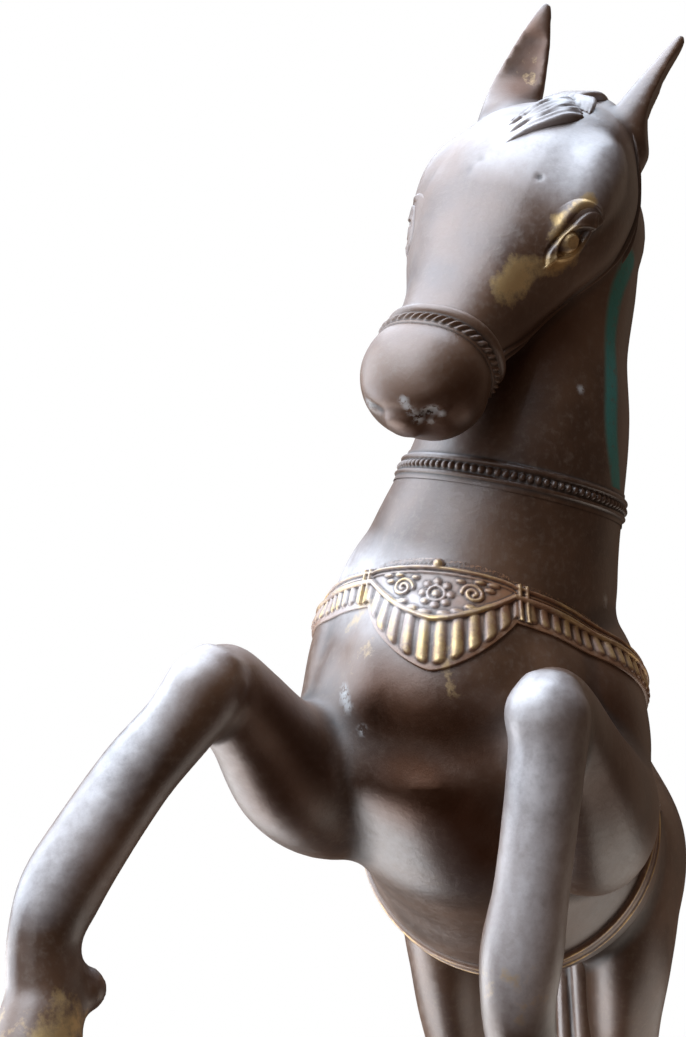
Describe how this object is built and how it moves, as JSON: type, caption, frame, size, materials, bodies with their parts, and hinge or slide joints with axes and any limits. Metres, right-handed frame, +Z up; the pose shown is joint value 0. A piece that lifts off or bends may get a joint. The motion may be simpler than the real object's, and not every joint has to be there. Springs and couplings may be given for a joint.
{
  "type": "horse sculpture",
  "caption": "Cast metal horse rearing on its hind legs with raised forelegs, in bridle, breast collar, girth and saddle, on a low moulded plinth.",
  "frame": {"origin": "middle of the plinth's underside", "axes": "+Z up, the horse faces -Y and its left side is towards +X"},
  "size_m": [0.3358, 0.6312, 0.9051],
  "materials": {
    "bronze": "dark brown patinated cast bronze, satin, with rubbed yellow edges",
    "plinth_bronze": "dark brown patinated cast bronze, satin"
  },
  "bodies": {
    "root": {"horse": "bronze", "plinth": "plinth_bronze"}
  },
  "joints": []
}
